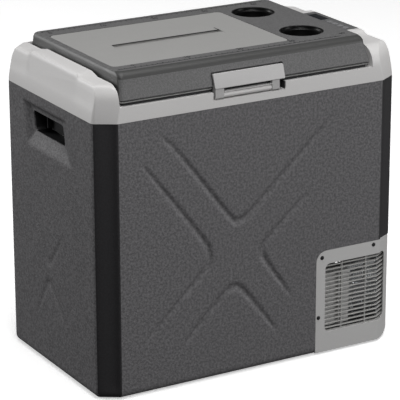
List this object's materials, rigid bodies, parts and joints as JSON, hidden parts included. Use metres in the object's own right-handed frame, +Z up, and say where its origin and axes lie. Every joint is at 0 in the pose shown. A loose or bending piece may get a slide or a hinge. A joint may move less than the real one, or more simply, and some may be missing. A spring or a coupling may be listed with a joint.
{
  "type": "compressor cooler fridge",
  "caption": "Portable compressor cooler fridge with a ribbed dark shell, grey collar, rear-hinged work-top lid with cup holders, front latch and ventilated machinery cover.",
  "frame": {"origin": "centre of the footprint at floor level, under the feet", "axes": "+X to the right of someone facing the latch, +Y towards the hinges, +Z up"},
  "size_m": [0.578, 0.3617, 0.552],
  "materials": {
    "shell_plastic": "charcoal moulded plastic with a fine pebble grain",
    "rim_plastic": "light grey moulded plastic, satin",
    "liner_plastic": "white smooth food-grade plastic",
    "foam": "rigid polyurethane foam",
    "evaporator_sheet": "bonded aluminium evaporator sheet",
    "lamp_lens": "frosted white lens",
    "basket_wire": "white coated steel wire",
    "sheet_aluminium": "mill finish sheet",
    "sheet_steel": "galvanised sheet",
    "compressor_paint": "black enamel on steel",
    "pipe_steel": "bright plated tube",
    "black_plastic": "black moulded plastic",
    "controller_case": "pale grey moulded case",
    "copper": "bare copper with a brown tarnish",
    "panel_plastic": "dark grey panel plastic",
    "display_lens": "smoked glossy window",
    "circuit_board": "green solder resist",
    "lid_plastic": "dark grey moulded plastic with a fine grain",
    "mat_plastic": "smooth mid grey plastic insert",
    "gasket_rubber": "soft black sealing rubber",
    "latch_plastic": "silver grey moulded plastic",
    "pin_steel": "bright steel rod",
    "cup_plastic": "black moulded plastic",
    "foot_rubber": "black rubber",
    "screw_steel": "black coated steel",
    "button_rubber": "grey silicone keys",
    "hinge_steel": "dark coated steel"
  },
  "bodies": {
    "cabinet": {"outer_shell": "shell_plastic", "rim_collar": "rim_plastic", "inner_liner": "liner_plastic", "insulation_foam": "foam", "evaporator_wrap": "evaporator_sheet", "interior_light": "lamp_lens", "wire_basket": "basket_wire", "vent_cover": "rim_plastic", "vent_grille_front": "rim_plastic", "vent_grille_rear": "rim_plastic", "vent_grille_side": "rim_plastic", "bay_partition": "sheet_aluminium", "compressor_tray": "sheet_steel", "compressor": "compressor_paint", "condenser_fins": "sheet_aluminium", "condenser_coil": "pipe_steel", "fan_frame": "black_plastic", "controller_box": "controller_case", "filter_drier": "copper", "suction_pipe": "copper", "dc_inlet": "black_plastic", "ac_inlet": "black_plastic", "control_panel": "panel_plastic", "display_lens": "display_lens", "control_board": "circuit_board", "latch_pin": "pin_steel", "handle_cup_left": "shell_plastic", "handle_cup_right": "shell_plastic", "foot_front_left": "foot_rubber", "foot_front_right": "foot_rubber", "foot_rear_left": "foot_rubber", "foot_rear_right": "foot_rubber", "cover_screw_front_1": "screw_steel", "compressor_grommet_1": "foot_rubber", "cover_screw_front_2": "screw_steel", "compressor_grommet_2": "foot_rubber", "cover_screw_front_3": "screw_steel", "compressor_grommet_3": "foot_rubber", "cover_screw_rear_1": "screw_steel", "cover_screw_rear_2": "screw_steel", "hinge_bracket_left": "hinge_steel", "hinge_pin_left": "pin_steel", "hinge_bracket_right": "hinge_steel", "hinge_pin_right": "pin_steel"},
    "lid": {"lid_cover": "lid_plastic", "lid_mat": "mat_plastic", "cup_liner_front": "cup_plastic", "cup_liner_rear": "cup_plastic", "lid_foam": "foam", "lid_inner_pan": "liner_plastic", "lid_gasket": "gasket_rubber", "hinge_leaf_left": "hinge_steel", "hinge_leaf_right": "hinge_steel"},
    "latch": {"latch_handle": "latch_plastic"},
    "fan": {"fan_rotor": "black_plastic"},
    "key_power": {"button_power": "button_rubber"},
    "key_set": {"button_set": "button_rubber"},
    "key_up": {"button_up": "button_rubber"},
    "key_down": {"button_down": "button_rubber"}
  },
  "joints": [
    {"name": "lid_hinge", "type": "hinge", "parent": "cabinet", "child": "lid", "pos_m": [-0.0085, 0.16, 0.527], "axis": [-1, 0, 0], "range_deg": [0, 100]},
    {"name": "latch_pivot", "type": "hinge", "parent": "cabinet", "child": "latch", "pos_m": [-0.009, -0.1735, 0.493], "axis": [1, 0, 0], "range_deg": [0, 85]},
    {"name": "fan_spin", "type": "hinge", "parent": "cabinet", "child": "fan", "pos_m": [0.2, -0.1135, 0.098], "axis": [0, 1, 0], "continuous": true},
    {"name": "press_power", "type": "slide", "parent": "cabinet", "child": "key_power", "axis": [0, 0, -1], "range_m": [0, 0.001], "stiffness_N_per_m": 300},
    {"name": "press_set", "type": "slide", "parent": "cabinet", "child": "key_set", "axis": [0, 0, -1], "range_m": [0, 0.001], "stiffness_N_per_m": 300},
    {"name": "press_up", "type": "slide", "parent": "cabinet", "child": "key_up", "axis": [0, 0, -1], "range_m": [0, 0.001], "stiffness_N_per_m": 300},
    {"name": "press_down", "type": "slide", "parent": "cabinet", "child": "key_down", "axis": [0, 0, -1], "range_m": [0, 0.001], "stiffness_N_per_m": 300}
  ]
}
